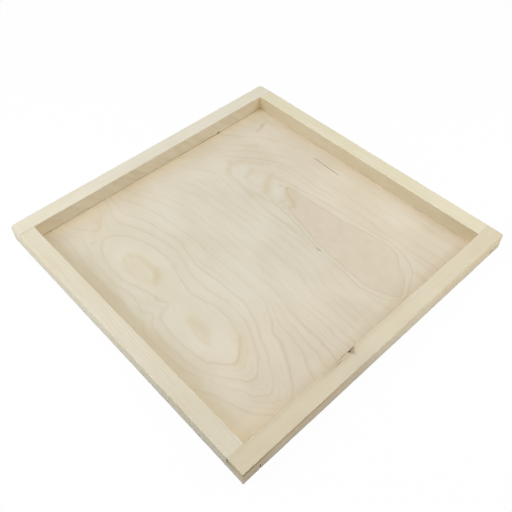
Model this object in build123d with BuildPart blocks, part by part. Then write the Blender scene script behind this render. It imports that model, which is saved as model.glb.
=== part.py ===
from build123d import *
import os

os.makedirs("parts", exist_ok=True)

# Hive inner cover: a square rim of four rails, halved into each other at the corners,
# round a plywood panel let into a rebate in the rails' lower inner edge.
# Origin at the middle of the underside, X along the front rail, Z up.

# Overall sizes
cover_width = 500.0  # outside, along X
cover_depth = 500.0  # outside, along Y
rail_width = 25.0  # as the wall of the hive body that the cover lies on
recess_depth = 25.0  # from the top of the rim down to the panel
panel_thickness = 3.0  # three-ply birch
rebate_width = 10.0  # how far the panel reaches under each rail

# Fits between the wooden pieces
panel_side_gap = 0.5  # between the panel's edge and the side of its rebate
shoulder_gap = 0.4  # between a lap's shoulder and the rail that crosses it

# Edges as sanded after gluing
arris_round = 0.8
front_corner_round = 1.2  # front and left rail
right_corner_round = 2.0  # front and right rail
left_corner_round = 5.5  # back and left rail
back_corner_round = 7.0  # back and right rail

# Brads of flat wire, driven up through the corner laps
brad_width = 1.3
brad_thickness = 1.0
brad_head_width = 2.0
brad_head_height = 0.8
brad_point_length = 1.5
brad_edge_distance = 7.0  # from the lap's outer side to the nearer brad
brad_cover = 5.0  # wood left between the brad's point and the top of the rim

# Wire staples, driven up through the panel into the rails
staple_crown = 10.0
staple_wire_width = 1.2
staple_wire_thickness = 0.7
staple_bite = 9.0  # how far the legs go into the rail
staple_end_distance = 40.0  # from the panel's corner to the middle of the first staple
staples_per_side = 5

# Sizes that follow
rail_height = recess_depth + panel_thickness
lap_height = rail_height / 2
inner_width = cover_width - 2 * rail_width
inner_depth = cover_depth - 2 * rail_width
rebate_span_x = inner_width + 2 * rebate_width
rebate_span_y = inner_depth + 2 * rebate_width
panel_width = rebate_span_x - 2 * panel_side_gap
panel_depth = rebate_span_y - 2 * panel_side_gap
brad_length = rail_height - brad_cover
brad_far_distance = rail_width - brad_edge_distance
staple_height = panel_thickness + staple_bite
staple_inset = (rebate_width - panel_side_gap) / 2  # from the panel's edge to the staple's crown
upright = (Align.CENTER, Align.MIN)

# Corner brads: two in each lap, on the diagonal that the panel's corner leaves free
with BuildPart() as corner_brads:
    with BuildSketch(Plane.XZ) as brad_profile:
        with BuildLine():
            Polyline(
                (0, 0),
                (brad_head_width / 2, 0),
                (brad_head_width / 2, brad_head_height),
                (brad_width / 2, brad_head_height),
                (brad_width / 2, brad_length - brad_point_length),
                (0, brad_length),
            )
            mirror(about=Plane.YZ)
        make_face()
    brad = extrude(brad_profile.sketch, brad_thickness / 2, both=True, mode=Mode.PRIVATE)
    near_x = cover_width / 2 - brad_edge_distance
    near_y = cover_depth / 2 - brad_edge_distance
    far_x = cover_width / 2 - brad_far_distance
    far_y = cover_depth / 2 - brad_far_distance
    with GridLocations(2 * near_x, 2 * far_y, 2, 2):
        add(brad)
    with GridLocations(2 * far_x, 2 * near_y, 2, 2):
        add(brad)
corner_brads.part.label = "corner_brads"
export_step(corner_brads.part, "parts/corner_brads.step")

# Panel staples: one row along each side of the panel, crowns flush with the underside
with BuildPart() as panel_staples:
    with BuildSketch(Plane.XZ) as staple_profile:
        Rectangle(staple_crown, staple_height, align=upright)
        with Locations((0, staple_wire_thickness)):
            inner_gap = staple_crown - 2 * staple_wire_thickness
            Rectangle(inner_gap, staple_height, align=upright, mode=Mode.SUBTRACT)
    staple = extrude(staple_profile.sketch, staple_wire_width / 2, both=True, mode=Mode.PRIVATE)
    pitch_x = (panel_width - 2 * staple_end_distance) / (staples_per_side - 1)
    pitch_y = (panel_depth - 2 * staple_end_distance) / (staples_per_side - 1)
    with GridLocations(pitch_x, panel_depth - 2 * staple_inset, staples_per_side, 2):
        add(staple)
    with GridLocations(panel_width - 2 * staple_inset, pitch_y, 2, staples_per_side):
        add(staple.rotate(Axis.Z, 90))
panel_staples.part.label = "panel_staples"
export_step(panel_staples.part, "parts/panel_staples.step")

# Rim as one sanded ring, from which the lapped rails take their outer shape
with BuildPart() as rim:
    with BuildSketch():
        Rectangle(cover_width, cover_depth)
        Rectangle(inner_width, inner_depth, mode=Mode.SUBTRACT)
    extrude(amount=rail_height)
    corner_rounds = {
        (-1, -1): front_corner_round,
        (1, -1): right_corner_round,
        (-1, 1): left_corner_round,
        (1, 1): back_corner_round,
    }
    for (side_x, side_y), corner_round in corner_rounds.items():
        corner = Vector(side_x * cover_width / 2, side_y * cover_depth / 2, lap_height)
        fillet(rim.edges().filter_by(Axis.Z).sort_by_distance(corner)[0], corner_round)
    top_edges = rim.faces().sort_by(Axis.Z)[-1].edges()
    bottom_outer_edges = rim.faces().sort_by(Axis.Z)[0].outer_wire().edges()
    fillet(top_edges + bottom_outer_edges, arris_round)

# Rebate for the panel, cut into all four rails
with BuildPart() as rebate:
    with BuildSketch():
        Rectangle(rebate_span_x, rebate_span_y)
    extrude(amount=panel_thickness)

# Front bar: its upper half crosses the side rails, its lower half stops between them
with BuildPart() as front_bar:
    with BuildSketch(Plane.XZ.offset(inner_depth / 2)):
        with Locations((0, lap_height)):
            Rectangle(cover_width, rail_height - lap_height, align=upright)
        Rectangle(inner_width - 2 * shoulder_gap, lap_height, align=upright)
    extrude(amount=rail_width)

# Left bar: its lower half crosses the front and back rails, its upper half stops between them
with BuildPart() as left_bar:
    with BuildSketch(Plane.YZ.offset(-cover_width / 2)):
        Rectangle(cover_depth, lap_height, align=upright)
        with Locations((0, lap_height)):
            Rectangle(inner_depth - 2 * shoulder_gap, rail_height - lap_height, align=upright)
    extrude(amount=rail_width)

with BuildPart() as front_rail:
    add(front_bar.part)
    add(rim.part, mode=Mode.INTERSECT)
    add([rebate.part, corner_brads.part, panel_staples.part], mode=Mode.SUBTRACT)
front_rail.part.label = "front_rail"
export_step(front_rail.part, "parts/front_rail.step")

with BuildPart() as back_rail:
    add(front_bar.part.mirror(Plane.XZ))
    add(rim.part, mode=Mode.INTERSECT)
    add([rebate.part, corner_brads.part, panel_staples.part], mode=Mode.SUBTRACT)
back_rail.part.label = "back_rail"
export_step(back_rail.part, "parts/back_rail.step")

with BuildPart() as left_rail:
    add(left_bar.part)
    add(rim.part, mode=Mode.INTERSECT)
    add([rebate.part, corner_brads.part, panel_staples.part], mode=Mode.SUBTRACT)
left_rail.part.label = "left_rail"
export_step(left_rail.part, "parts/left_rail.step")

with BuildPart() as right_rail:
    add(left_bar.part.mirror(Plane.YZ))
    add(rim.part, mode=Mode.INTERSECT)
    add([rebate.part, corner_brads.part, panel_staples.part], mode=Mode.SUBTRACT)
right_rail.part.label = "right_rail"
export_step(right_rail.part, "parts/right_rail.step")

# Panel: flush with the rails' underside, its top against the upper face of the rebate
with BuildPart() as panel:
    with BuildSketch():
        Rectangle(panel_width, panel_depth)
    extrude(amount=panel_thickness)
    add(panel_staples.part, mode=Mode.SUBTRACT)
panel.part.label = "panel"
export_step(panel.part, "parts/panel.step")
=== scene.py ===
import math
from dataclasses import dataclass
from functools import partial

import bmesh
import bpy
import numpy as np
from mathutils import Matrix, Vector


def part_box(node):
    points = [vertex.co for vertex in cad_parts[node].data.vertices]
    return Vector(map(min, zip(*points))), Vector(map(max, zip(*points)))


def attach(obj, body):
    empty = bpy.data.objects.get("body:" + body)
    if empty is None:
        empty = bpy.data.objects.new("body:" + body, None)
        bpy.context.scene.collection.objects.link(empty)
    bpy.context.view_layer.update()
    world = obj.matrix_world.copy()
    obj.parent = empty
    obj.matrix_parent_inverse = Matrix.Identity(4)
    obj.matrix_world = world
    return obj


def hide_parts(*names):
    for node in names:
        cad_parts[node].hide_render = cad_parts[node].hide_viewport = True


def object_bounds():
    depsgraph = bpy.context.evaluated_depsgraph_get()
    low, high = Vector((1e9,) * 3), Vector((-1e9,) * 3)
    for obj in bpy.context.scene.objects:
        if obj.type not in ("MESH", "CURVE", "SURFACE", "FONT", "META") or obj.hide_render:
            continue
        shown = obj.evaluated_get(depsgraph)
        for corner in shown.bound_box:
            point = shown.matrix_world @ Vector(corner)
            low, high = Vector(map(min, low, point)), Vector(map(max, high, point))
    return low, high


# Hive inner cover: a rim of four half-lapped rails round a birch plywood panel.
# Shapes are worked out in millimetres and written to Blender's meshes in metres.

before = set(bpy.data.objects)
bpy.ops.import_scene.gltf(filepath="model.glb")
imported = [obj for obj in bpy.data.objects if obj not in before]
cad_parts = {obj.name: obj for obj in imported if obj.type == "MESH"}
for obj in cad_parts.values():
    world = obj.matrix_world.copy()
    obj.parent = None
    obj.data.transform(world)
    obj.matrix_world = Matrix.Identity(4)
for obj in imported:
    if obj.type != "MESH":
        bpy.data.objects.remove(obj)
cad_low, cad_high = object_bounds()

mm = 0.001
tiny = 1e-9  # keeps lengths that are divided by above zero
touch = 0.01  # places closer than this count as the same

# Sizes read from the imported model
half = cad_high.x / mm  # from the middle of the cover to the outside of a rail
rim_height = cad_high.z / mm
rail_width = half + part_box("left_rail")[1].x / mm
inner_half = half - rail_width
panel_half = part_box("panel")[1].x / mm
panel_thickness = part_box("panel")[1].z / mm
lap_height = rim_height / 2

# Fits between the wooden pieces
panel_side_gap = 0.5
shoulder_gap = 0.1  # the laps are tight on top
rebate_half = panel_half + panel_side_gap
shoulder_half = inner_half - shoulder_gap

# Depth that the fasteners' heads sink into the wood
brad_head_height = 0.8
staple_wire_thickness = 0.7

# Upright corners at the front, right, back and left, rounded by sanding
corner_rounds = (1.2, 2, 7, 4)
corner_share = 0.95  # most rounding of the other edges there, as a share of the corner's
corner_growth = 0.5  # and how much more they may have, per length away from it

# Rounding of the inner top edge, and unevenness of the edges as a share of their rounding
inner_round = 0.7
outer_wear = 0.1
outer_wear_most = 1.5  # no larger rounding makes the outer top edge more uneven
edge_wear = 0.2  # of the other edges

# Chips along the edges: how many, and their greatest length and depth
outer_chips = (9, 5, 0.35)
lower_chips = (12, 6, 0.8)
inner_chips = (8, 4, 0.6)
chip_lengths = (0.4, 1)  # least and greatest, as shares of those
chip_depths = (0.3, 1)

# Edges inside the corner joints
shoulder_round = 0.5
lap_round = 0.35
parting_depth = 9  # how far a joint's opening reaches in from the outer face
parting_length = 4  # and along the rail
parting_top = 1  # how far below the top it begins
parting_full = 3  # and is at its widest

# Open slot between the rails and the panel
slot_depth = 3.4  # inward under the rail
slot_fade = 1.5  # part of that depth over which it closes
slot_reach = 2.5  # height over which the rail's face gives way to it
slot_least = 0.05
slot_wear = 0.25
slot_wave = 60
splinter_width = 2.5
slot_chip_height = 2.2
slot_chip_width = 2.3

# Spacing of the mesh
rail_step = 2.5
rail_cross_steps = 8
panel_step = 2.75
edge_steps = np.array([0, 0.2, 0.45, 0.8, 1.25, 1.8, 2.5, 3.4, 4.5, 6])  # finer near the arrises
chip_spread = 2  # spacing at the slot's chips, against those steps
sharp_angle = math.radians(38)  # edges that turn by more are shaded as sharp

grain_shift = 900  # from one rail to the next, so that no two look alike
first_seed = 11
seed_step = 100  # from one use of random numbers to the next
even = ((0, 1), (1, 1))  # brightness along a face that doesn't change


@dataclass
class Rail:
    """One rail of the rim. Its own axes are s along it, t inward from its outer face and z up.

    Pairs are values at its start and its end. Stations are places along it with the values there.
    """

    name: str
    turn: int  # quarter turns about Z from the front rail's place
    over: bool  # its upper half crosses the neighbours, or else its lower half
    end_rounds: tuple  # pair: rounding of the outer edge that runs on round the ends
    arris: tuple  # stations: rounding of the outer top edge
    top: tuple  # sRGB colours of the top, the outer and the inner face
    outer: tuple
    inner: tuple
    end: tuple  # and of the end grain
    end_shades: tuple  # pair: brightness of the end grain
    pith: tuple  # middle of the tree, inward and up from the outer lower edge
    ring: float  # width of a growth ring
    tilt: float  # how far the grain runs across the rail, per length
    lower_round: float = 1.5  # rounding of the outer lower edge
    slot: tuple = ((0, 0.15), (1, 0.15))  # stations: height of the open slot over the panel
    slot_breaks: tuple = ()  # places where splinters bridge it
    slot_chips: tuple = ()  # places where it is chipped wider
    top_shades: tuple = even  # stations: brightness of the faces, partly their own tone and partly painted light and shade
    outer_shades: tuple = even
    inner_shades: tuple = even
    arris_shade: float = 1  # painted light and shade on the rounded, worn outer top edge and the edges round the ends, evening out the light they catch
    upright_shades: tuple = (1, 1)  # pair: painted light that lifts the shade on the upright corners' rounding
    partings: tuple = (0.2, 0.2)  # pair: how far the joints stand open outside
    joint_lines: tuple = (0, 0)  # pair: how dark the joints are on top
    ring_share: float = 0.08  # how strongly the rings show
    streak: float = 2.4  # width of a streak along the grain
    streak_share: float = 0.4  # and how strongly the streaks show


rails = [
    Rail(
        name="front_rail", turn=0, over=True, end_rounds=(0.5, 1),
        arris=((-250, 0.4), (10, 0.5), (110, 3.5), (250, 3)), lower_round=2.6,
        top=(216, 207, 184), outer=(224, 211, 184), inner=(222, 208, 180),
        end=(224, 209, 178), end_shades=(0.74, 0.85),
        top_shades=((-250, 0.96), (-100, 0.99), (-50, 0.96), (-20, 1.02), (150, 1.04), (250, 1.04)),
        outer_shades=(
            (-250, 0.88), (-226, 0.93), (-200, 1.03), (-150, 1.03), (-75, 1.01), (-45, 0.96), (-15, 1.01),
            (20, 1.045), (130, 1.058), (195, 1.03), (250, 1.05),
        ),
        arris_shade=0.98, upright_shades=(2, 1), partings=(1.8, 0.7),
        pith=(70, -45), ring=2.6, tilt=0.012, streak_share=0.25,
    ),
    Rail(
        name="right_rail", turn=1, over=False, end_rounds=(2.6, 1.5),
        arris=((-250, 1), (250, 1.2)), slot=((0, 0.10), (1, 0.10)),
        top=(229, 222, 196), outer=(226, 216, 192), inner=(229, 218, 192),
        end=(226, 214, 188), end_shades=(0.85, 0.85),
        # The inner station of 1.25 at the back corner is painted light that lifts the corner's shade
        inner_shades=((-225, 0.98), (-180, 1), (150, 1), (195, 0.94), (219, 0.96), (225, 1.25)),
        joint_lines=(0.1, 0.2), pith=(-60, -80), ring=2.1, tilt=-0.02,
    ),
    Rail(
        name="back_rail", turn=2, over=True, end_rounds=(1.2, 5),
        arris=((0, 1.2), (1, 1.2)),
        slot=(
            (-250, 0.45), (-204, 0.45), (-198, 0.35), (-142, 0.35), (-134, 0.5), (-129, 0.8), (-104, 0.75),
            (-90, 0.55), (-66, 0.6), (-40, 0.4), (-26, 0.4), (0, 0.5), (40, 0.45), (195, 0.5), (205, 0.75),
            (250, 0.75),
        ),
        slot_breaks=(101, 52, 25, 19, 3, -12, -84), slot_chips=(-125.2,),
        top=(227, 222, 205), outer=(224, 216, 196), inner=(241, 231, 210),
        end=(216, 211, 198), end_shades=(0.9, 1),
        top_shades=((-225, 1.03), (-60, 1), (0, 0.98), (60, 0.98), (130, 1), (250, 0.97)),
        # The inner station of 1.25 at the back corner is painted light that lifts the corner's shade
        inner_shades=((-225, 1.25), (-219, 1), (-195, 0.98), (-160, 0.99), (0, 1)),
        arris_shade=0.93, pith=(90, 70), ring=3.1, ring_share=0.10, tilt=0.01,
    ),
    Rail(
        name="left_rail", turn=3, over=False, end_rounds=(1.5, 2.6),
        arris=((-250, 4), (-110, 4), (-40, 1.5), (60, 0.7), (250, 0.5)), lower_round=2.6,
        top=(222, 216, 198), outer=(216, 210, 192), inner=(224, 214, 190),
        end=(224, 211, 190), end_shades=(0.9, 0.86),
        outer_shades=((-250, 1.04), (30, 1.02), (75, 0.95), (190, 0.92), (250, 0.9)),
        arris_shade=1.01, upright_shades=(1, 2), partings=(0, 1.9), joint_lines=(0.5, 0.15),
        pith=(60, 120), ring=1, ring_share=0.60, streak=1, streak_share=1, tilt=0.05,
    ),
]

# Knot torn out of the front rail's inner top edge, between two places along the rail
knot_start = -56
knot_stop = -41
knot_place = -52  # where the tear is widest
knot_depth = 2
knot_lip = 3  # length over which the tear begins
knot_seed = 77
knot_wave = 9
knot_margin = 4  # the mesh is finer this far to each side
knot_step = 0.8
knot_bend = 5  # how far the grain bends round it
knot_bend_length = 26

# Checks beside the knot: places along the rail, and their distance from the inner edge there
knot_checks = [((-78, 1.3), (-56, 0.6)), ((-84, 5.2), (-66, 4.2))]

# Cracks in the panel's face, along its grain: place, ends, width, depth
panel_cracks = [(196.7, 9, 67, 0.75, 1.4), (57.3, -79, -68, 0.6, 1)]
crack_lean = 0.035
crack_taper = 0.4  # the lower, the blunter the ends
crack_side = 1.1  # widths to each side that lean with it
crack_fade = ((0.55, 1), (1, 0.45))  # shares of the length, and how dark the painted shade in it is there


# Helpers for shapes

def soft_plus(value, width):
    """Zero below, the value itself above, with a smooth bend about as wide as width."""
    return 0.5 * (value + np.sqrt(value * value + width * width))


def soft_least(first, second, width):
    """The lesser of two values, with a smooth change from one to the other."""
    return -width * np.logaddexp(-first / width, -second / width)


def rise(value, start, stop):
    """Smooth change from 0 to 1 as a value goes up or down from start to stop."""
    share = np.clip((value - start) / (stop - start), 0, 1)
    return share * share * (3 - 2 * share)


def bell(value, width):
    """1 at zero, and a smooth fall to 0 on both sides."""
    return np.exp(-((value / width) ** 2))


def at_stations(value, stations):
    """Value between stations that are given as pairs of a place and the value there."""
    return np.interp(value, *zip(*stations))


def wander(along, seed, longest=140, octaves=5):
    """Smooth unevenness between about -1 and 1, the same in every run."""
    shorter, weaker, reach = 1.9, 1.4, 1.6  # each wave against the one before, and their sum's reach
    phases = np.random.default_rng(seed).uniform(0, 2 * math.pi, octaves)
    waves = [
        np.sin(2 * math.pi * along * shorter**k / longest + phases[k]) / weaker**k for k in range(octaves)
    ]
    return sum(waves) / sum(1 / weaker**k for k in range(octaves)) * reach


def chips(along, seed, count, longest, deepest):
    """Extra rounding where splinters have left an edge."""
    random = np.random.default_rng(seed)
    total = np.zeros_like(along)
    for _ in range(count):
        middle = random.uniform(-half, half)
        length = longest * random.uniform(*chip_lengths)
        depth = deepest * random.uniform(*chip_depths)
        total = np.maximum(total, depth * np.clip(1 - ((along - middle) / length) ** 2, 0, 1))
    return total


def worn(along, seed, rounding, wear, count, longest, deepest):
    """Rounding of an edge with its unevenness and chips."""
    return rounding + wear * wander(along, seed) + chips(along, seed + seed_step, count, longest, deepest)


def grid_lines(*groups):
    """Sorted places of grid lines, without doubles."""
    return np.unique(np.round(np.concatenate(groups), 5))


def sunk(boxes, depth):
    """Pockets of that depth in the underside, under the boxes."""
    return [(low, np.array([high[0], high[1], depth])) for low, high in boxes]


def pocket_lines(pockets, axis):
    """Places of the pockets' sides along an axis."""
    return [corner[axis] for pocket in pockets for corner in pocket]


def outside_pockets(pockets, x, y, z):
    """True where no fastener's pocket takes the wood away."""
    outside = np.ones(x.shape, bool)
    for low, high in pockets:
        outside &= ~((x > low[0]) & (x < high[0]) & (y > low[1]) & (y < high[1]) & (z < high[2]))
    return outside


def shell(x_lines, y_lines, z_lines, is_wood):
    """Skin of a grid's wooden cells, as points and four-sided faces that look outward."""
    all_lines = (x_lines, y_lines, z_lines)
    middles = [(lines[1:] + lines[:-1]) / 2 for lines in all_lines]
    wood = is_wood(*np.meshgrid(*middles, indexing="ij"))
    padded = np.pad(wood, 1).astype(np.int8)
    size = [len(lines) for lines in all_lines]
    number = np.arange(math.prod(size)).reshape(size)
    unit = np.eye(3, dtype=int)
    quads = []
    for axis in range(3):
        inside = [slice(1, -1)] * 3
        inside[axis] = slice(None)
        change = np.diff(padded, axis=axis)[tuple(inside)]
        across, up = unit[(axis + 1) % 3], unit[(axis + 2) % 3]
        for sign in (1, -1):
            place = np.argwhere(change == sign)
            ring = [place, place + across, place + across + up, place + up][::-sign]
            quads.append(np.stack([number[tuple(corner.T)] for corner in ring], 1))
    quads = np.concatenate(quads)
    used, renumbered = np.unique(quads, return_inverse=True)
    points = np.stack(np.meshgrid(*all_lines, indexing="ij"), -1).reshape(-1, 3)[used]
    return points, renumbered.reshape(quads.shape)


def eased(first, second, radius):
    """Distances from the two faces of an edge, after its square corner has become an arc."""
    u = radius - first
    v = radius - second
    near = (u > 0) & (v > 0)
    scale = np.where(near, np.maximum(u, v) / np.maximum(np.hypot(u, v), tiny), 1)
    return np.where(near, radius - u * scale, first), np.where(near, radius - v * scale, second)


def add_object(name, data):
    added = bpy.data.objects.new(name, data)
    bpy.context.scene.collection.objects.link(added)
    return added


def add_piece(name, points, quads, material, attributes):
    """New mesh object from points in millimetres, with named values at its points."""
    mesh = bpy.data.meshes.new(name)
    mesh.from_pydata((points * mm).tolist(), [], quads.tolist())
    for key, values in attributes.items():
        kind, field = ("FLOAT_VECTOR", "vector") if values.ndim == 2 else ("FLOAT", "value")
        layer = mesh.attributes.new(key, kind, "POINT")
        layer.data.foreach_set(field, values.astype(np.float32).ravel())
    mesh.polygons.foreach_set("use_smooth", [True] * len(mesh.polygons))
    mesh.set_sharp_from_angle(angle=sharp_angle)
    mesh.materials.append(material)
    mesh.update()
    return add_object(name, mesh)


def fastener_boxes(node):
    """Box of each separate fastener in a CAD node, in millimetres."""
    work = bmesh.new()
    work.from_mesh(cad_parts[node].data)
    bmesh.ops.remove_doubles(work, verts=work.verts, dist=1e-6)
    waiting = set(work.verts)
    boxes = []
    while waiting:
        group = [waiting.pop()]
        for vert in group:
            linked = {edge.other_vert(vert) for edge in vert.link_edges} & waiting
            waiting -= linked
            group += linked
        places = np.array([vert.co for vert in group]) / mm
        boxes.append((places.min(0), places.max(0)))
    work.free()
    return boxes


def turned(points, quarter_turns):
    """Points turned about Z by whole quarter turns."""
    cosine, sine = [(1, 0), (0, 1), (-1, 0), (0, -1)][quarter_turns % 4]
    x, y = points[..., 0], points[..., 1]
    return np.stack([x * cosine - y * sine, x * sine + y * cosine, points[..., 2]], -1)


# Rails

def brad_pockets(rail):
    """Pockets for the brads' heads in a rail, in the rail's own axes."""
    if rail.over:
        return []
    corners = [turned(np.array(box), -rail.turn) for box in fastener_boxes("corner_brads")]
    boxes = [(pair.min(0), pair.max(0)) for pair in corners + np.array([0, half, 0])]
    return sunk([box for box in boxes if box[1][1] < rail_width], brad_head_height)


def rail_skin(rail):
    """Square skin of a rail with its laps, rebate and pockets, in the rail's own axes."""
    pockets = brad_pockets(rail)
    ends = np.concatenate([half - edge_steps, shoulder_half - edge_steps[:5]])
    knot = []
    if rail.name == "front_rail":
        knot = np.arange(knot_start - knot_margin, knot_stop + knot_margin, knot_step)
    chipped = [place + edge_steps[:6] * chip_spread * side for place in rail.slot_chips for side in (-1, 1)]
    s_lines = grid_lines(
        np.linspace(-half, half, round(2 * half / rail_step) + 1), ends, -ends,
        [inner_half, -inner_half, rebate_half, -rebate_half], knot, *chipped, pocket_lines(pockets, 0),
    )
    t_lines = grid_lines(
        edge_steps, rail_width - edge_steps, np.linspace(0, rail_width, rail_cross_steps + 1),
        [half - rebate_half], pocket_lines(pockets, 1),
    )
    z_lines = grid_lines(
        edge_steps[:8], rim_height - edge_steps, panel_thickness + edge_steps[:6],
        lap_height + edge_steps[:3], lap_height - edge_steps[:3], [brad_head_height],
    )

    def is_wood(s, t, z):
        wood = (np.abs(s) < shoulder_half) | ((z > lap_height) == rail.over)
        wood &= ~((t > half - rebate_half) & (np.abs(s) < rebate_half) & (z < panel_thickness))
        return wood & outside_pockets(pockets, s, t, z)

    return shell(s_lines, t_lines, z_lines, is_wood)


def edge_rounds(rail, s):
    """Rounding of a rail's outer top, outer lower and inner top edge, and height of its slot, along it."""
    seed = first_seed + rail.turn
    outer = at_stations(s, rail.arris)
    outer = worn(s, seed, outer, outer_wear * np.minimum(outer, outer_wear_most), *outer_chips)
    lower_wear = edge_wear * rail.lower_round
    lower = worn(s, seed + 2 * seed_step, rail.lower_round, lower_wear, *lower_chips)
    inner = worn(s, seed + 4 * seed_step, inner_round, edge_wear, *inner_chips)
    if rail.name == "front_rail":
        torn = rise(s, knot_start, knot_start + knot_lip)
        torn = torn * np.clip((knot_stop - s) / (knot_stop - knot_place), 0, 1)
        uneven = edge_wear * wander(s, knot_seed, knot_wave) * (torn > 0)
        inner = inner + knot_depth * np.clip(torn + uneven, 0, 1)
    inner = np.where(np.abs(s) > inner_half, 0, inner)
    slot = at_stations(s, rail.slot) * (1 + slot_wear * wander(s, seed + 6 * seed_step, slot_wave))
    for place in rail.slot_breaks:
        slot = slot * (1 - bell(s - place, splinter_width))
    for place in rail.slot_chips:
        slot = slot + slot_chip_height * bell(s - place, slot_chip_width)
    return outer, lower, inner, np.maximum(slot, slot_least)


def sanded(rail, places):
    """Places of a rail's skin after its edges are sanded, chipped and torn."""
    s, t, z = places.T
    end = half - np.abs(s)
    outer, lower, inner, slot = edge_rounds(rail, s)

    # Upright corner at the rail's end
    corner = np.where(s < 0, corner_rounds[rail.turn], corner_rounds[(rail.turn + 1) % 4])
    in_corner = (end < corner) & (t < corner)
    u, v = corner - end, corner - t
    reach, length = np.maximum(u, v), np.maximum(np.hypot(u, v), tiny)
    inset = np.where(in_corner, corner - reach, np.minimum(end, t))
    toward_end = np.where(in_corner, u / length, end < t)
    toward_face = np.where(in_corner, v / length, end >= t)

    # Outer top and lower edge, which run round that corner with no more than its own rounding
    most = corner_share * corner + corner_growth * np.maximum(np.maximum(end, t) - corner, 0)
    end_round = np.where(s < 0, *rail.end_rounds)
    outer = outer + (end_round - outer) * toward_end**2 * rail.over
    lower = lower + (end_round - lower) * toward_end**2 * (not rail.over)
    end, t = eased(end, t, corner)
    moved, drop = eased(inset, rim_height - z, np.minimum(outer, most))
    moved, z = eased(moved, rim_height - drop, np.minimum(lower, most))
    end = end + toward_end * (moved - inset)
    t = t + toward_face * (moved - inset)

    # Inner edges, along the top and along the panel
    gap, drop = eased(rail_width - t, rim_height - z, inner)
    z = rim_height - drop
    t = rail_width - gap
    over_panel = z - panel_thickness
    near_panel = (np.abs(s) < inner_half) & (over_panel > -touch) & (over_panel < slot_reach)
    lifted = slot * rise(gap, slot_depth, slot_depth - slot_fade) * (1 - over_panel / slot_reach)
    z = np.where(near_panel, z + lifted, z)

    # Joint edges: the shoulder of the half that stops, and the end and underside of the half that crosses
    side = z - lap_height if rail.over else lap_height - z
    stops = (side <= 0) & (end > half - shoulder_half - touch)
    shoulder, face = eased(end - (half - shoulder_half), t, shoulder_round)
    end = np.where(stops, shoulder + half - shoulder_half, end)
    t = np.where(stops, face, t)
    parting = np.where(s < 0, *rail.partings) * np.clip(1 - t / parting_depth, 0, 1)
    parting = parting * rise(z, rim_height - parting_top, rim_height - parting_full)
    parting = parting * np.clip(1 - (end - half + shoulder_half) / parting_length, 0, 1)
    end = end + np.where(stops, parting, 0)
    crosses = (side >= 0) & (end < rail_width)
    tip, flank = eased(end, rail_width - t, shoulder_round)
    end = np.where(crosses, tip, end)
    t = np.where(crosses, rail_width - flank, t)
    over_lap = crosses & (end < rail_width - shoulder_round)
    tip, height = eased(np.minimum(end, t), np.abs(side), lap_round)
    step = np.where(over_lap, tip - np.minimum(end, t), 0)
    z = np.where(over_lap & (height != np.abs(side)), lap_height + np.where(rail.over, height, -height), z)
    end, t = end + step * (end < t), t + step * (end >= t)

    s = np.sign(s) * (half - end)
    return np.stack([s, t - half, z], 1)


def add_rail(rail):
    places, quads = rail_skin(rail)
    points = turned(sanded(rail, places), rail.turn)
    s, t, z = places.T
    bend = rail.tilt * s
    if rail.name == "front_rail":
        bend = bend + knot_bend * bell(s - knot_place, knot_bend_length) * rise(t, 0, rail_width)
    values = {
        "place": places,
        "grain": np.stack([s + grain_shift * rail.turn, t + bend, z], 1),
        "end_shade": np.where(s < 0, *rail.end_shades),
        "upright_shade": np.where(s < 0, *rail.upright_shades),
        "joint_line": np.where(s < 0, *rail.joint_lines),
    }
    # Brightness along the faces, partly painted light and shade
    for shade in ("top_shade", "outer_shade", "inner_shade"):
        values[shade] = at_stations(s, getattr(rail, shade + "s"))
    piece = add_piece(rail.name + "_timber", points, quads, rail_material(rail), values)
    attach(piece, "root")
    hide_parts(rail.name)


# Panel

@dataclass
class Eye:
    """A hump in the log that the veneer knife cut through, which shows as rings round an eye."""

    x: float  # place of its middle
    y: float
    height: float  # in growth rings
    front_stretch: float = 1.72  # length against width, toward the front
    front_lean: float = 0.08  # how far its front end leans to the right, per length
    front_point: float = 1.5  # below 2 the rings come to a point at their front end
    outer_point: float = 1.12  # the same for the outermost rings
    outer_reach: tuple = (42, 75)  # where the rings start to be sharper, and where they're sharpest
    front_squeeze: tuple = ((45, 1.32), (70, 0.9))  # lengths, and how close the rings lie at its left


eyes = [
    Eye(x=-158, y=234, height=6.1),
    Eye(x=-149.5, y=73, height=6.42),
    Eye(
        x=-156, y=-65, height=6.42, front_stretch=1.655, front_lean=0.038, front_point=1.65,
        outer_point=1.22, outer_reach=(50, 70),
        front_squeeze=((0, 1.32), (20, 1.19), (50, 1.19), (88, 0.725)),
    ),
]
back_stretch = 2.05  # the same toward the back, for all three
back_lean = 0.08
back_point = 1.95
back_squeeze = 1.32
eye_ring = 21  # width of a ring on the eyes' right side
eye_top = 12  # flat part of a hump
eye_tip = ((42, 6), (60, 2))  # lengths toward an end, and how round the rings' ends are there
eye_edge = 5  # level of the ring round both eyes, outside which the rings lie closer
eye_closer = ((-120, 1.13), (-65, 1.35))  # places along the panel, and how much closer there
eye_foot = 1.75  # level of the ground that the humps stand on
eye_softness = 0.25  # in growth rings, where two humps meet
foot_softness = 0.12

# The ring round both eyes is pinched between them at its left, and fuller at its right
pinch_y = -1
pinch_level = 0.5
pinch_round = 5
pinch_width = 6
pinch_reach = (-148, -166)  # across the panel, where it starts and where it is full
fuller_y = 6
fuller_level = 0.32
fuller_width = 18
fuller_left = (-148, -132)  # the same at its left and at its right
fuller_right = (-70, -110)

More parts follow.
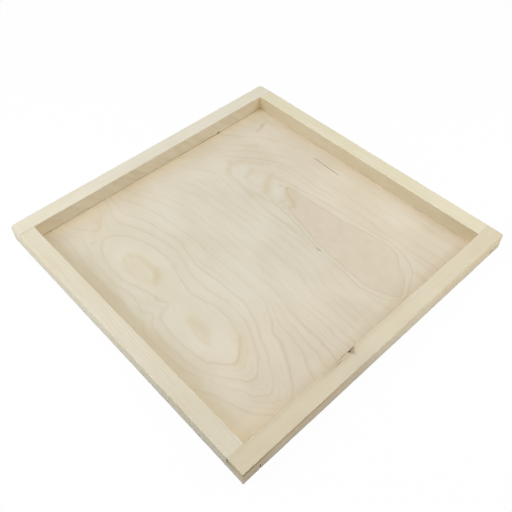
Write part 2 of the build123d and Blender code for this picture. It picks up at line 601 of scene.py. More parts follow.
# Places across the middle of the panel where a new growth ring comes to the face, from the eyes rightward
ring_places = (-82, -60, -39, -25, -13.5, 6, 20, 32.5, 46, 57, 98, 134, 153, 171, 186, 205, 235)
ring_levels = (3, 2, 1, 0, -1, -2, -3, -4, -5, -6, -6.9, -6.6, -6, -5, -4, -3, -2)
ring_beyond = 13  # width of a ring left of them
eyes_stop = (-105, -65)  # across the panel, where the eyes give way to these rings
band_level = -6.5  # level of the plain ground round the band
band_reach = (-9, -1)  # distances inside the band's outline over which the ground turns plain
outline_softness = 2.2
tip_softness = 1  # where an outline's two sides meet
end_softness = 2  # and at its ends

# How much the rings lean to the left toward the back, at places across the panel
lean_places = (-150, -95, -50, -20, 5, 35, 54, 75)
lean_slopes = (0, 0.45, 0.50, 0.45, 0.50, 0.30, 0.12, 0)
lean_start = 150
lean_bend = 40

# How far they swing to the left in front of the middle
swing_places = (-150, -126, -109, -85, -64, -48, -32, -20, 0, 20, 43, 62)
swing_lengths = (0, 71, 56, 37, 24, 14, 9, 12, 19, 24, 14, 0)
swing_start = -70
swing_middle = -135
swing_stop = -235
swing_share = 0.75  # part of the swing that is done at its middle

# How far they bulge to the right, left of the band behind the tongue
bulge_places = (30, 55, 75)
bulge_lengths = (0, 10, 0)
bulge_y = 150
bulge_width = 60

# How far they sweep to the right behind the tongue
sweep_places = (62, 100, 120, 235)
sweep_lengths = (0, 85, 85, 25)
sweep_start = 70
sweep_stop = 240

# Outlines of the plain tongue at the right and of the band round it: Y, left and right
heart_outline = (
    (-210, 75, 78), (-199, 67, 98), (-190, 64, 108), (-180, 60, 113), (-172, 57.5, 119), (-160, 55.5, 131),
    (-140, 57.5, 136.5), (-120, 59, 133.5), (-100, 60.5, 131), (-80, 63.5, 129.5), (-60, 66, 125.5),
    (-40, 71, 124), (-20, 76, 122), (0, 80, 121), (20, 85, 120), (60, 83, 118), (85, 83, 117),
    (105, 85, 112), (115, 92, 103),
)
band_outline = (
    (-215, 74, 84), (-205, 60, 100), (-195, 55, 121), (-180, 51, 132), (-160, 47.5, 139.5),
    (-140, 50.5, 142.5), (-120, 53, 141), (-100, 54.5, 139.5), (-80, 57.5, 138.5), (-60, 60, 137.5),
    (-40, 64, 136.5), (-20, 69.5, 134), (0, 73, 132), (25, 76, 128), (60, 71, 124), (100, 69, 118),
    (125, 71, 113), (140, 77, 106), (150, 86, 97),
)

# Back end of the plain tongue
flame_outline = ((80, 22), (84, 15), (94, 10), (98, 18), (102, 28), (107, 38), (113, 49), (118, 45))
flame_reach = (3, -4)  # distances behind it, where the tongue starts and where it is full

# Tan marks on the veneer: paths, width and strength
tan_marks = [
    # Ragged back end of the plain tongue
    (((83, 21), (86, 18)), 6, 0.4),
    (((88, 16), (94, 9), (98, 16)), 5, 0.5),
    (((98, 16), (101, 27), (105, 38), (109, 44), (115, 47)), 7, 0.55),
    (((103, 22), (107, 30), (110, 38)), 12, 0.3),
    # Brow and arches behind it
    (((85, 64), (90, 68), (97, 74)), 11, 0.6),
    (((84.5, 74), (82, 62.5), (80, 52), (78, 39.5), (76.5, 31)), 4, 0.3),
    (((97, 74), (106, 80), (116, 85)), 8, 0.5),
    (((72, 136), (77.5, 143.5), (85, 149), (93, 155)), 6, 0.5),
    (((72, 136), (69.5, 128), (69.5, 119), (68.5, 109), (67, 96), (64.5, 83), (62.5, 72)), 4, 0.35),
    (((87, 146), (94.5, 147), (102, 144), (109, 138.5), (115.5, 129), (121, 120), (132, 106)), 4, 0.35),
    (((85, 110), (93.5, 112.5), (103, 115.5)), 6, 0.4),
    (((85, 110), (81, 101), (82, 91), (84.5, 81.5), (84.5, 74)), 4, 0.3),
    (((103, 115.5), (109.5, 108), (114, 99), (115.5, 85), (119, 74.5), (119.5, 63.5)), 4, 0.3),
    # Hearts of the two eyes, and the front end of the ring round them
    (((-154, 92), (-158, 56)), 22, 0.38),
    (((-148, 106), (-141, 94), (-138, 78), (-138, 60), (-142, 46), (-150, 39)), 9, 0.55),
    (((-150, 107), (-159, 103), (-165, 88), (-164, 66), (-158, 48), (-150, 39)), 5, 0.45),
    (((-148, 42), (-141, 47), (-137, 58)), 10, 0.7),
    (((-155, -44), (-154, -60), (-155, -74)), 10, 0.5),
    (((-156, -40), (-162, -58), (-165, -72), (-161, -87)), 3.5, 0.5),
    (((-156, -40), (-149, -55), (-147, -66), (-152, -78), (-161, -87)), 3.5, 0.4),
    (((-150, -134), (-138, -126), (-129, -112)), 10, 0.3),
    # Point of the hump that the back rail cuts off
    (((-158, 178), (-148, 183), (-142, 195)), 8, 0.25),
]
tan_spread = 1 / 1.4

# Old water mark near the back right corner, specks, and painted shade in the chip under the back rail: paths,
# width and strength
dark_marks = [
    (((190, 186), (197, 188)), 2.3, 1),
    (((176, 182), (184, 184), (190, 184.5)), 2.6, 0.4),
    (((199, 188.6), (212, 191.5)), 1.6, 0.35),
    (((153, 160), (153, 157)), 1.8, 0.4),
    (((148, 152), (150, 149)), 1.8, 0.3),
    (((111, 59), (112, 56)), 2.2, 0.5),
    (((85, 31), (90, 30)), 3, 0.35),
    (((-174, 162), (-172, 160)), 2, 0.35),
    # Painted shade in the chipped slot under the back rail
    (((123, 225.5), (126, 225.5)), 1.2, 1),
]

# Pale patches: place, half width across and along the grain, strength
pale_patches = [(98, 54, 13, 15, 0.6), (96, 130, 12, 9, 0.3)]

# How strongly the rings show, at places across the panel
strength_places = (-150, -80, -55, 45, 60, 140, 160)
strengths = (0.8, 0.75, 0.4, 0.4, 0.8, 0.8, 0.4)

# Painted light and shade in the panel's corners: sides in X and Y, how much brighter, and how far
corner_light_and_shade = [(-1, 1, -0.10, 22), (1, 1, 0.2, 7), (-1, -1, 0.18, 36), (1, -1, -0.12, 24)]
# Width of the painted shade, darker and warmer, along the panel's edges by the rails
edge_shade_width = 26

# The reverse is a plainer sheet from the same log, turned end for end
reverse_middle = -90
reverse_scale = -0.58


def from_path(x, y, path):
    """Distance of points from a path of straight pieces."""
    nearest = np.full(x.shape, np.inf)
    for (x0, y0), (x1, y1) in zip(path[:-1], path[1:]):
        share = ((x - x0) * (x1 - x0) + (y - y0) * (y1 - y0)) / ((x1 - x0) ** 2 + (y1 - y0) ** 2)
        share = np.clip(share, 0, 1)
        nearest = np.minimum(nearest, np.hypot(x - x0 - share * (x1 - x0), y - y0 - share * (y1 - y0)))
    return nearest


def strokes(x, y, marks, spread=1):
    """Strength of soft marks along paths."""
    total = np.zeros(x.shape)
    for path, width, share in marks:
        total = np.maximum(total, share * bell(from_path(x, y, path), width * spread))
    return total


def inside_outline(x, y, outline):
    """Distance inside an outline given by its left and right sides, less than zero outside."""
    heights, left, right = zip(*outline)
    across = soft_least(x - np.interp(y, heights, left), np.interp(y, heights, right) - x, tip_softness)
    along = np.minimum(y - heights[0], heights[-1] - y)
    return soft_least(across, along, end_softness)


def below_flame(x, y):
    """1 in front of the ragged end of the plain tongue, 0 behind it."""
    return rise(y - at_stations(x, flame_outline), *flame_reach)


def eye_level(x, y):
    """Height of the three humps, in growth rings."""
    total = 0.0
    for eye in eyes:
        in_front = y < eye.y
        across = x - eye.x + np.where(in_front, eye.front_lean, back_lean) * (y - eye.y)
        along = np.abs(y - eye.y) / np.where(in_front, eye.front_stretch, back_stretch)
        squeeze = np.where(in_front, at_stations(along, eye.front_squeeze), back_squeeze)
        across = np.hypot(np.where(across < 0, across * squeeze, across), at_stations(along, eye_tip))
        front_point = eye.front_point
        for _ in range(2):
            point = np.where(in_front, front_point, back_point)
            away = (across**point + along**point) ** (1 / point)
            front_point = np.interp(away, eye.outer_reach, (eye.front_point, eye.outer_point))
        level = eye.height - (np.sqrt(away**2 + eye_top**2) - eye_top) / eye_ring
        total = total + np.exp(level / eye_softness)
    level = eye_softness * np.log(total)
    pinch = np.exp(-(np.hypot(y - pinch_y, pinch_round) - pinch_round) / pinch_width)
    level = level - pinch_level * pinch * rise(x, *pinch_reach)
    fuller = bell(y - fuller_y, fuller_width) * rise(x, *fuller_left) * rise(x, *fuller_right)
    level = level + fuller_level * fuller
    closer = at_stations(y, eye_closer)
    return np.where(level < eye_edge, eye_edge - (eye_edge - level) * closer, level)


def figure_level(x, y):
    """Height of the peeled face over the panel, in growth rings. Its level lines are the veneer's figure."""
    leaned = x + np.interp(x, lean_places, lean_slopes) * soft_plus(y - lean_start, lean_bend)
    swung = swing_share * rise(y, swing_start, swing_middle)
    swung = swung + (1 - swing_share) * rise(y, swing_middle, swing_stop)
    leaned = leaned + swung * np.interp(x, swing_places, swing_lengths)
    leaned = leaned - bell(y - bulge_y, bulge_width) * np.interp(x, bulge_places, bulge_lengths)
    leaned = leaned + rise(y, sweep_start, sweep_stop) * np.interp(x, sweep_places, sweep_lengths)
    rings = np.interp(leaned, ring_places, ring_levels)
    rings = rings + np.maximum(ring_places[0] - leaned, 0) / ring_beyond
    eye = -soft_least(-eye_level(x, y), -eye_foot, foot_softness)
    level = eye + (rings - eye) * rise(0.5 * (x + leaned), *eyes_stop)
    band = inside_outline(x, y, band_outline)
    heart = inside_outline(x, y, heart_outline)
    level = level + (band_level - level) * rise(band, *band_reach)
    level = level - rise(band, -outline_softness, outline_softness)
    return level - rise(heart, -outline_softness, outline_softness) * below_flame(x, y)


def line_strength(x, y):
    """How strongly the growth rings show over the panel."""
    strength = np.interp(x, strength_places, strengths)
    strength = np.maximum(strength, 0.75 * rise(y, -90, -150) * rise(x, 30, -30))
    strength = np.maximum(strength, 0.5 * rise(y, 70, 110) * rise(x, 100, 140))
    in_band = inside_outline(x, y, band_outline) > -3
    strength = np.where(in_band, np.interp(y, (60, 95), (0.95, 0.15)), strength)
    for fainter in (
        0.2 * rise(y, 160, 180),
        0.25 * rise(y, 90, 130) * rise(x, -100, -130),
        0.3 * rise(x, -175, -200),
        0.85 * bell(x - 59, 6) * rise(y, 30, 70),
    ):
        strength = strength * (1 - fainter)
    return strength


def panel_light_and_shade(x, y):
    """Brightness over the panel, much of it painted light and shade: pale rims of painted light along three
    rails that lift the shade there, and lighter and darker corners.
    """
    left, right, back = bell(x + inner_half, 13), bell(x - inner_half, 10), bell(y - inner_half, 10)
    tone = 1 + np.maximum(np.maximum(0.16 * left, 0.20 * back), 0.22 * right)
    tone = tone - 0.06 * bell(y - 202, 14)
    for side_x, side_y, brighter, width in corner_light_and_shade:
        tone = tone + brighter * bell(np.hypot(x - side_x * inner_half, y - side_y * inner_half), width)
    tone = tone + 0.05 * rise(x, 90, 150) * rise(y, 60, 0)
    dim = rise(y, -130, -180) * (1 - bell(x + inner_half, 28)) * (1 - bell(x - 80, 60))
    front_rim = rise(y, -188, -206) * (1 - 0.7 * bell(x + 122, 30))
    return tone - 0.045 * dim + 0.055 * front_rim


def panel_warmth(x, y):
    """How far the panel's colour is warmer, toward its sides and its front: partly its own tone, partly
    painted warm light thrown off the rails.
    """
    warm = np.maximum(0.8 * rise(x, 60, 160), 0.8 * rise(y, 160, 205))
    warm = np.maximum(warm, 0.7 * rise(x, -190, -210))
    warm = warm * (1 - 0.35 * rise(x, 190, 215))
    return np.maximum(warm, 0.7 * rise(y + 0.1 * x, -75, -135))


def panel_looks(x, y):
    """Named values over the panel that its material turns into figure, tone, and painted light and shade."""
    near = 0.5  # to each side, so that a difference is the slope per millimetre
    slope_x = figure_level(x + near, y) - figure_level(x - near, y)
    slope_y = figure_level(x, y + near) - figure_level(x, y - near)
    pale = np.zeros(x.shape)
    for patch_x, patch_y, across, along, share in pale_patches:
        spread = np.hypot((x - patch_x) / across, (y - patch_y) / along)
        pale = np.maximum(pale, share * bell(spread, 1))
    from_edge = inner_half - np.maximum(np.abs(x), np.abs(y))
    return {
        "figure": figure_level(x, y),
        "figure_slope": np.hypot(slope_x, slope_y),
        "strength": line_strength(x, y),
        "finer": rise(y, -85, -115) * rise(x, -128, -113) * rise(x, -30, -45),
        "tan": strokes(x, y, tan_marks, tan_spread),
        "heart": rise(inside_outline(x, y, heart_outline), -1, 2) * below_flame(x, y),
        "pale": pale,
        "stains_and_chip_shade": strokes(x, y, dark_marks),
        # Painted light and shade over the panel
        "shade": panel_light_and_shade(x, y),
        "warm": panel_warmth(x, y),
        # Painted shade along the panel's edges by the rails
        "margin": rise(from_edge, edge_shade_width, 0),
        # Yellower along the left and back rails: partly the sheet's own tone, partly painted warm light
        # thrown off the rails
        "yellow": np.maximum(rise(x, -180, -220), 0.8 * rise(y, 190, 220)),
    }


def crack_panel(points):
    """Opens the cracks in the panel's top face, and says how dark the painted shade in them is at each point.
    """
    x, y, z = points.T
    darkness = np.zeros(len(points))
    for place, start, stop, width, depth in panel_cracks:
        along = (y - start) / (stop - start)
        taper = np.clip(4 * along * (1 - along), 0, 1) ** crack_taper
        core = (np.abs(x - place) < touch) * taper * (z > panel_thickness - touch)
        beside = (np.abs(x - place) < crack_side * width) & (along > 0) & (along < 1)
        points[:, 0] += beside * crack_lean * (y - (start + stop) / 2)
        points[:, 2] -= core * depth
        darkness = np.maximum(darkness, core * at_stations(along, crack_fade))
    return darkness


def add_panel():
    pockets = sunk(fastener_boxes("panel_staples"), staple_wire_thickness)
    steps = int(panel_half / panel_step)
    regular = np.concatenate([np.arange(-steps, steps + 1) * panel_step, [-panel_half, panel_half]])
    crack_lines = [(place - width, place, place + width) for place, _, _, width, _ in panel_cracks]
    x_lines = grid_lines(regular, *crack_lines, pocket_lines(pockets, 0))
    y_lines = grid_lines(regular, pocket_lines(pockets, 1))
    z_lines = np.array([0, staple_wire_thickness, panel_thickness])
    points, quads = shell(x_lines, y_lines, z_lines, partial(outside_pockets, pockets))
    x, y, z = points.T
    under = z < panel_thickness / 2
    sheet_x = np.where(under, reverse_middle + reverse_scale * x, x)
    values = panel_looks(sheet_x, np.where(under, reverse_scale * y, y))
    for mark in ("tan", "heart", "pale", "stains_and_chip_shade", "margin", "yellow"):
        values[mark] = np.where(under, 0, values[mark])
    values["shade"] = np.where(under, 1, values["shade"])
    values["split"] = crack_panel(points)
    piece = add_piece("panel_birch", points, quads, panel_material(), values)
    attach(piece, "root")
    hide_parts("panel")


# Materials

# Colours in sRGB levels
knot_brown = (158, 140, 108)
knot_dark = (78, 64, 44)
check_ridge_highlight = (238, 230, 210)
check_shadow = (140, 122, 94)
birch_pale = (217, 211, 194)
birch_dull = (212, 204, 184)
birch_edge_shade = (211, 200, 178)
birch_patch = (219, 215, 203)
tongue_pale = (213, 200, 179)
tongue_dull = (208, 195, 174)
crack_shadow = (62, 52, 40)
slot_shadow = (96, 66, 24)
ply_face = (214, 200, 172)
ply_core = (150, 122, 88)
zinc_grey = (150, 152, 152)
zinc_pale = (193, 194, 192)

# Depth of the surfaces' fine relief, in metres
rail_relief = 0.00005
birch_relief = 0.00004
zinc_relief = 0.00003


def linear(colour):
    """Blender's linear colour from sRGB levels of 0 to 255."""
    levels = [c / 255 for c in colour]
    parts = [c / 12.92 if c <= 0.04045 else ((c + 0.055) / 1.055) ** 2.4 for c in levels]
    return (*parts, 1)


def joined(operation):
    """Method that joins a value to others by a node."""
    return lambda value, *others: value.shader.math(operation, value, *others)


class Value:
    """What a node gives out. Sums and products with it add the nodes that work them out."""

    __add__ = joined("ADD")
    __sub__ = joined("SUBTRACT")
    __mul__ = joined("MULTIPLY")
    __truediv__ = joined("DIVIDE")
    __abs__ = joined("ABSOLUTE")

    def __init__(self, shader, socket):
        self.shader = shader
        self.socket = socket

    def __rsub__(self, other):
        return self.shader.math("SUBTRACT", other, self)


class Shader:
    """The nodes of a material or a world, with short calls that add and join them."""

    def __init__(self, owner):
        self.owner = owner
        owner.use_nodes = True
        self.tree = owner.node_tree

    def add(self, kind, inputs, output=0, **settings):
        node = self.tree.nodes.new("ShaderNode" + kind)
        for name, value in settings.items():
            setattr(node, name, value)
        for key, value in inputs.items():
            self.feed(node.inputs[key], value)
        return Value(self, node.outputs[output])

    def feed(self, socket, value):
        if isinstance(value, Value):
            self.tree.links.new(value.socket, socket)
        else:
            socket.default_value = value

    def finish(self, last_node="Principled BSDF", **inputs):
        for name, value in inputs.items():
            self.feed(self.tree.nodes[last_node].inputs[name.replace("_", " ")], value)
        return self.owner

    def attribute(self, name, output="Fac"):
        return self.add("Attribute", {}, output, attribute_name=name)

    def math(self, operation, *values):
        return self.add("Math", dict(enumerate(values)), operation=operation)

    def most(self, first, second):
        return self.math("MAXIMUM", first, second)

    def vector(self, operation, *values, output=0):
        return self.add("VectorMath", dict(enumerate(values)), output, operation=operation)

    def parts(self, vector):
        return [self.add("SeparateXYZ", {0: vector}, axis) for axis in range(3)]

    def facing(self, direction):
        """How far a face looks that way, from -1 to 1."""
        normal = self.add("NewGeometry", {}, "Normal")
        return self.vector("DOT_PRODUCT", normal, direction, output="Value")

    def noise(self, place, wavelength, detail=2, roughness=0.5, output="Fac"):
        """Noise of 0 to 1 with lumps of that length in each direction."""
        spot = self.vector("MULTIPLY", place, [1 / length for length in wavelength])
        inputs = {"Vector": spot, "Scale": 1, "Detail": detail, "Roughness": roughness}
        return self.add("TexNoise", inputs, output)

    def ramp(self, value, low, high, start=0, stop=1):
        """Smooth change from start to stop as the value goes from low to high."""
        inputs = {"Value": value, "From Min": low, "From Max": high, "To Min": start, "To Max": stop}
        return self.add("MapRange", inputs, interpolation_type="SMOOTHSTEP")

    def fall(self, value, low, high):
        return self.ramp(value, low, high, 1, 0)

    def mix(self, share, first, second):
        """The first colour, changed to the second by that share. Colours given as numbers are sRGB levels."""
        first, second = (c if isinstance(c, Value) else linear(c) for c in (first, second))
        return self.add("Mix", {0: share, 6: first, 7: second}, 2, data_type="RGBA", clamp_factor=True)

    def shade(self, colour, brightness):
        return self.add("VectorMath", {0: colour, "Scale": brightness}, operation="SCALE")

    def tint(self, colour, *tints):
        """The colour multiplied by factors for red, green and blue, each by its share."""
        for share, factors in tints:
            inputs = {0: share, 6: colour, 7: (*factors, 1)}
            colour = self.add("Mix", inputs, 2, data_type="RGBA", blend_type="MULTIPLY")
        return colour

    def bump(self, height, distance):
        return self.add("Bump", {"Height": height, "Distance": distance, "Strength": 1}, "Normal")


def rail_material(rail):
    """Planed and sanded pale timber: growth rings round the pith, fibres, pores and soft clouds of tone."""
    shader = Shader(bpy.data.materials.new(rail.name + "_wood"))
    ramp, fall, noise, mix, named = shader.ramp, shader.fall, shader.noise, shader.mix, shader.attribute
    grain = named("grain", "Vector")
    s, t, z = shader.parts(named("place", "Vector"))
    outward, along = turned(np.array([[0, -1, 0], [1, 0, 0]]), rail.turn).tolist()
    to_outside = shader.facing(outward)
    to_ends = abs(shader.facing(along))
    on_outer = ramp(to_outside, 0.25, 0.9)
    on_inner = fall(to_outside, -0.9, -0.25)
    on_end = ramp(to_ends, 0.5, 0.9)

    # Growth rings round the pith
    sway = noise(grain, (170, 45, 45), output="Color")
    from_pith = shader.vector("ADD", grain, (0, -rail.pith[0], -rail.pith[1]))
    swayed = shader.vector("MULTIPLY_ADD", sway, (0, 9, 9), from_pith)
    radius = shader.vector("LENGTH", shader.vector("MULTIPLY", swayed, (0, 1, 1)), output="Value")
    ring = shader.math("FRACT", radius / rail.ring)
    late = ramp(ring, 0.25, 0.85) * fall(ring, 0.88, 1)

    # Fibres, streaks, clouds and pores
    fibre = noise(grain, (30, 0.6, 0.6), 3, 0.6)
    streak = noise(grain, (120, rail.streak, rail.streak))
    cloud = noise(grain, (60, 22, 22))
    broad = noise(grain, (170, 60, 60), 1)
    pores = ramp(noise(grain, (3.5, 0.25, 0.25), 0), 0.72, 0.82)

    # Colours of the faces, with painted light and shade along them, and of the edges between them
    top, outer, inner, end = (
        shader.shade(linear(getattr(rail, face))[:3], named(face + "_shade"))
        for face in ("top", "outer", "inner", "end")
    )
    colour = mix(on_end, mix(on_inner, mix(on_outer, top, outer), inner), end)
    # Painted light and shade on the rounded edges, by the rail's arris_shade
    for face in (on_outer, ramp(to_ends, 0.1, 0.7)):
        colour = shader.tint(colour, (face * (1 - face) * 4, [rail.arris_shade] * 3))
    # Painted light on the rounding of the upright corners, lifting the shade there
    on_upright = on_outer * on_end * 2.4
    colour = shader.shade(colour, on_upright * (named("upright_shade") - 1) + 1)
    along_rail = abs(s)
    joint = fall(abs(along_rail - shoulder_half), 0.3, 1.3) * named("joint_line")
    colour = shader.tint(
        colour,
        (on_inner * ramp(along_rail, 150, inner_half), (0.98, 0.955, 0.91)),  # painted warm shade toward the corners inside
        (joint, (0.6, 0.54, 0.45)),
        (on_outer * ramp(z, 0, 3.5, 0.6, 0), (0.74, 0.74, 0.76)),  # painted contact shadow at the foot of the outer face
        (on_outer * fall(z, 4, 20), (0.925, 0.965, 1.04)),  # cooler lower part of the outer face
        (late * (on_end * 0.3 + rail.ring_share), (0.88, 0.84, 0.77)),
        (ramp(fibre, 0.3, 0.75, 0, 0.35), (0.90, 0.88, 0.84)),
        (ramp(streak, 0.42, 0.75, 0, rail.streak_share), (0.93, 0.90, 0.85)),
        (ramp(cloud, 0.35, 0.7, 0, 0.6), (0.95, 0.93, 0.89)),
        (ramp(broad, 0.35, 0.65, 0, 0.5), (0.97, 0.955, 0.92)),
        (pores * 0.4, (0.72, 0.66, 0.56)),
    )
    if rail.name == "front_rail":
        colour = front_tones(shader, colour, s, t, z, on_outer, on_end)
        colour = knot_marks(shader, colour, s, t, z)
    if rail.name == "back_rail":
        colour = slanted_bands(shader, colour, on_inner)
    return shader.finish(
        Base_Color=colour,
        Roughness=ramp(fibre, 0.2, 0.8, 0.58, 0.74),
        Specular_IOR_Level=0.3,
        Normal=shader.bump(late * 0.4 + fibre, rail_relief),
    )


def slanted_bands(shader, colour, on_inner):
    """Soft bands where the grain runs slantwise through the inner face."""
    turn = {"Vector": shader.attribute("place", "Vector"), "Rotation": (0, math.radians(-45), 0)}
    slanted = shader.add("Mapping", turn)
    for wavelength, share in (((9, 60, 60), 0.8), ((1.8, 60, 40), 0.4)):
        band = shader.ramp(shader.noise(slanted, wavelength), 0.4, 0.75)
        colour = shader.tint(colour, (on_inner * band * share, (0.90, 0.87, 0.82)))
    return colour


def front_tones(shader, colour, s, t, z, on_outer, on_end):
    """Tones of the front rail: its outer face with a painted shadow under its top edge near the corner, its
    rubbed inner edge and its left end grain, darker toward the joint.
    """
    ramp, fall = shader.ramp, shader.fall
    toned = on_outer * fall(s, -75, -25)
    arris_shadow_band = fall(abs(z - 24.2), 0.7, 2.6)
    near_corner = ramp(s, -240, -195, 0.75, 0.35) * fall(s, -130, -85)
    on_top = ramp(z, rim_height - 2, rim_height - 0.5)
    inner_edge = ramp(t, rail_width - 7, rail_width - 3) * fall(t, rail_width - 2, rail_width)
    return shader.tint(
        colour,
        (fall(s, -230, -20) * ramp(z, 4, 16), (1, 0.985, 0.955)),  # warmer to the left
        (on_outer * ramp(s, 60, 130) * ramp(z, 8, 16), (1, 0.98, 0.92)),  # rolled edge
        (toned, (0.91, 0.89, 0.87)),
        (toned * ramp(z, 14, 24), (0.95, 0.89, 0.83)),
        # Painted shadow under a torn sliver of the outer top edge, near the front corner
        (on_outer * arris_shadow_band * near_corner, (0.34, 0.28, 0.20)),
        (fall(s, 40, 75) * inner_edge * on_top, (0.95, 0.93, 0.915)),
        (on_end * fall(s, -240, -200) * ramp(t, 6, 23), (0.78, 0.79, 0.78)),  # toward the joint
    )


def knot_marks(shader, colour, s, t, z):
    """Knot cut in half by the inner edge: a dark heart, brown streaks that fan out from it, and checks with
    painted shade and a painted highlight.
    """
    ramp, fall, mix = shader.ramp, shader.fall, shader.mix
    across = (rail_width - t) + (rim_height - z)
    along = s - knot_start
    place = shader.attribute("place", "Vector")
    ragged = shader.noise(place, (1.6, 3, 3)) - 0.5
    streaks = shader.noise(place, (11, 1.2, 1.2), 1)
    stained = ramp(s, -120, -80) * fall(s, -52, -40) * fall(across, 4, 11)
    colour = shader.tint(colour, (stained * ramp(streaks, 0.3, 0.65, 0.5, 1), (0.85, 0.82, 0.77)))
    limit = ragged * 5 + shader.math("MINIMUM", along * 1.7, knot_stop - s)
    fan = ramp(limit - across, -2.5, 3) * ramp(along, 6, 17, 1, 0.5)
    colour = mix(fan * ramp(streaks, 0.35, 0.6, 0.6, 1), colour, knot_brown)
    heart = fall(abs(along - 3.6), 0.8, 3.4) * fall(across, 1.8, 4.2)
    torn_edge = ramp(across, 0.8, 2.2, 0.8, 0) * ramp(along, 1, 3) * fall(along, 7, 15)
    colour = mix(shader.most(heart, torn_edge), colour, knot_dark)
    # Checks beside the knot: painted shadow in each, and a painted highlight on the splinter ridge beside it
    for (start, start_in), (stop, stop_in) in knot_checks:
        slope = (stop_in - start_in) / (stop - start)
        off = across - (ragged * 1.2 + (s * slope + (start_in - slope * start)))
        ends = ramp(s, start, start + 8) * fall(s, stop - 4, stop)
        colour = mix(ends * ramp(abs(off - 1.5), 0.2, 0.9, 0.2, 0), colour, check_ridge_highlight)
        colour = mix(ends * ramp(abs(off), 0.3, 1.3, 0.5, 0), colour, check_shadow)
    return colour


def panel_material():
    """Sanded rotary-cut birch: level lines of the peeled log, silky fibres along Y and a plain tongue."""
    shader = Shader(bpy.data.materials.new("birch_face"))
    ramp, fall, noise, mix, named = shader.ramp, shader.fall, shader.noise, shader.mix, shader.attribute
    place = shader.vector("MULTIPLY", shader.add("TexCoord", {}, "Object"), [1 / mm] * 3)
    x, y, z = shader.parts(place)
    strength = named("strength")

    # Growth ring lines, shaken a little
    slope = shader.most(named("figure_slope"), 0.02)
    gentle = shader.math("MINIMUM", slope, 0.12)
    jitter = noise(place, (9, 11, 9)) - 0.5
    shake = noise(place, (30, 45, 30), 1) - 0.5
    level = (shake * 9 + jitter * 5) * gentle + named("figure")
    above = shader.math("FRACT", level)
    line = shader.most(fall(above / slope, 0, 2.6), fall((1 - above) / slope, 0, 5))
    third = shader.math("FRACT", level * 3)
    finer = ramp((1 - third) / (slope * 3), 0, 4, 0.8, 0) * fall(level, 2, 2.1)
    line = shader.most(line, named("finer") * finer)
    faint = noise(place, (40, 55, 40), 1)
    line = line * ramp(faint, 0.3, 0.6, 0.4, 1) * strength * fall(level, eye_edge + 0.5, eye_edge + 0.6)
    outside_ring = strength * fall(level, eye_edge - 0.03, eye_edge + 0.03)
    between = ramp(third, 0.55, 0.95) * fall(third, 0.95, 1) * ramp(slope, 0.02, 0.06, 0.7, 0.25)

    # Fibres, clouds and mottling
    fibre = noise(place, (0.8, 20, 5), 3, 0.6)
    silk = noise(place, (3, 38, 9))
    cloud = noise(place, (60, 90, 50))
    mottle = noise(place, (9, 16, 9), 3)

    colour = mix(ramp(cloud, 0.3, 0.7), birch_pale, birch_dull)
    # Painted shade, darker and warmer, along the panel's edges by the rails
    colour = mix(named("margin") * 0.75, colour, birch_edge_shade)
    # Warmer and yellower toward the sides: partly painted warm light thrown off the rails
    colour = shader.tint(
        colour,
        (named("warm"), (1, 0.957, 0.93)),
        (named("yellow"), (1, 1, 0.94)),
    )
    colour = mix(named("pale"), colour, birch_patch)
    # Painted light and shade over the panel
    colour = shader.shade(colour, named("shade"))
    colour = shader.tint(
        colour,
        (ramp(above, 0.1, 1) * outside_ring * 0.25, (0.93, 0.90, 0.85)),
        (ramp(fibre, 0.3, 0.75, 0, 0.22), (0.88, 0.85, 0.80)),
        (ramp(silk, 0.4, 0.7, 0, 0.2), (0.94, 0.92, 0.88)),
    )
    tongue = mix(ramp(mottle, 0.3, 0.7), tongue_pale, tongue_dull)
    colour = mix(named("heart") * 0.75, colour, tongue)
    colour = shader.tint(
        colour,
        (between * outside_ring, (0.92, 0.89, 0.85)),
        (line * 0.38, (0.80, 0.75, 0.64)),
        (named("tan"), (0.87, 0.785, 0.62)),
        # Water mark and specks, with painted shade in the chip under the back rail
        (named("stains_and_chip_shade") * 0.75, (0.62, 0.58, 0.52)),
    )
    # Painted shade inside the cracks
    colour = mix(named("split") * 0.92, colour, crack_shadow)
    upward = shader.facing((0, 0, 1))
    # Painted shadow in the open slot under the back rail
    under_back_rail_shade = ramp(y, inner_half - 0.3, inner_half + 0.1) * ramp(x, -150, 20, 0.4, 0.7)
    colour = mix(ramp(upward, 0.2, 0.6) * under_back_rail_shade, colour, slot_shadow)

    # Three plies at the edges
    middle_ply = shader.math("COMPARE", z, panel_thickness / 2, panel_thickness / 6)
    colour = mix(ramp(abs(upward), 0.2, 0.6), mix(middle_ply, ply_face, ply_core), colour)
    return shader.finish(
        Base_Color=colour,
        Roughness=ramp(fibre, 0.2, 0.8, 0.5, 0.66),
        Specular_IOR_Level=0.35,
        Normal=shader.bump(line * -0.5 + fibre, birch_relief),
    )


def steel_material():
    """Galvanised wire: dull zinc with pale and grey patches and drawing marks."""
    shader = Shader(bpy.data.materials.new("zinc_wire"))
    place = shader.add("TexCoord", {}, "Object")
    patch = shader.noise(place, (0.0012, 0.0012, 0.0012), 3)  # lengths in metres
    scratch = shader.noise(place, (0.0002, 0.0002, 0.004))
    return shader.finish(
        Base_Color=shader.mix(shader.ramp(patch, 0.35, 0.65), zinc_grey, zinc_pale),
        Metallic=1,
        Roughness=shader.ramp(scratch, 0.25, 0.75, 0.32, 0.55),
        Normal=shader.bump(scratch, zinc_relief),
    )


def dress_fasteners():
    steel = steel_material()
    for node in ("corner_brads", "panel_staples"):
        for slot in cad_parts[node].material_slots:
            slot.material = steel


# Stage, with lengths in metres

white = (1, 1, 1, 1)
floor_white = (0.9, 0.9, 0.9, 1)
floor_half = 6
floor_drop = 0.00005
floor_show = 0.96  # share of plain white that the camera sees; the rest keeps the shadow

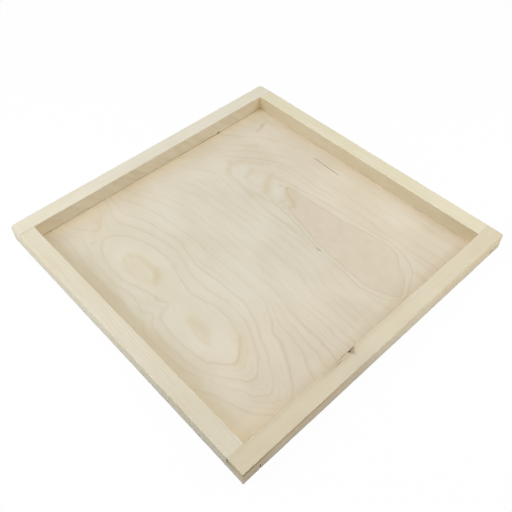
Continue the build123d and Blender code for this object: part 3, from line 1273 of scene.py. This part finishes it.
# Square lamps: how far to the photograph's right, away from the camera and up, their size and power
softboxes = {
    "overhead": ((0, 0, 1.7), 2, 19.8),
    "right_softbox": ((1.08, -0.22, 0.7), 0.8, 7.1),
    "left_softbox": ((-1.04, -0.30, 0.7), 0.8, 9.3),
    "far_softbox": ((0, 1.1, 0.9), 1, 2.4),
}


def seen_directly(shader):
    """1 for rays from the camera, from gloss and through glass, 0 for the light that falls on the object."""
    total = shader.add("LightPath", {}, "Is Camera Ray")
    for name in ("Is Glossy Ray", "Is Transmission Ray"):
        total = shader.most(total, shader.add("LightPath", {}, name))
    return total


def floor_material():
    shader = Shader(bpy.data.materials.new("white_floor"))
    diffuse = shader.add("BsdfDiffuse", {"Color": floor_white})
    glow = shader.add("Emission", {"Color": white})
    blend = shader.add("MixShader", {0: seen_directly(shader) * floor_show, 1: diffuse, 2: glow})
    shader.tree.nodes.remove(shader.tree.nodes["Principled BSDF"])
    return shader.finish("Material Output", Surface=blend)


def add_floor():
    mesh = bpy.data.meshes.new("floor")
    corners = [(-1, -1), (1, -1), (1, 1), (-1, 1)]
    mesh.from_pydata([(x * floor_half, y * floor_half, -floor_drop) for x, y in corners], [], [(0, 1, 2, 3)])
    mesh.materials.append(floor_material())
    floor = add_object("floor", mesh)


def light_world():
    shader = Shader(bpy.data.worlds.new("studio"))
    bpy.context.scene.world = shader.finish("Background", Color=white, Strength=seen_directly(shader))


# Camera, as it stood for the photograph: directions in degrees, lengths in millimetres
camera_azimuth = -42.494
camera_elevation = 49.89
camera_roll = -0.873
camera_place = (2.611, -18.773, 909.913)  # right, up and back from the middle of the cover's underside
focal_pixels = 621.201
image_pixels = 512
sensor_width = 36


def turn_about(axis, degrees):
    return Matrix.Rotation(math.radians(degrees), 4, axis)


def add_camera():
    data = bpy.data.cameras.new("camera")
    data.sensor_width = sensor_width
    data.lens = focal_pixels / image_pixels * sensor_width
    turns = turn_about("Z", camera_azimuth) @ turn_about("X", 90 - camera_elevation)
    turns = turns @ turn_about("Z", camera_roll)
    camera = add_object("camera", data)
    camera.matrix_world = turns @ Matrix.Translation(Vector(camera_place) * mm)
    bpy.context.scene.camera = camera


def add_lamps():
    for name, (place, size, power) in softboxes.items():
        lamp = bpy.data.lights.new(name, "AREA")
        lamp.shape = "SQUARE"
        lamp.size = size
        lamp.energy = power
        softbox = add_object(name, lamp)
        softbox.location = turn_about("Z", camera_azimuth) @ Vector(place)
        softbox.rotation_euler = (-softbox.location).to_track_quat("-Z", "Y").to_euler()


for rail in rails:
    add_rail(rail)
add_panel()
dress_fasteners()
add_floor()
light_world()
add_camera()
add_lamps()

bpy.context.scene.view_settings.view_transform = "Standard"
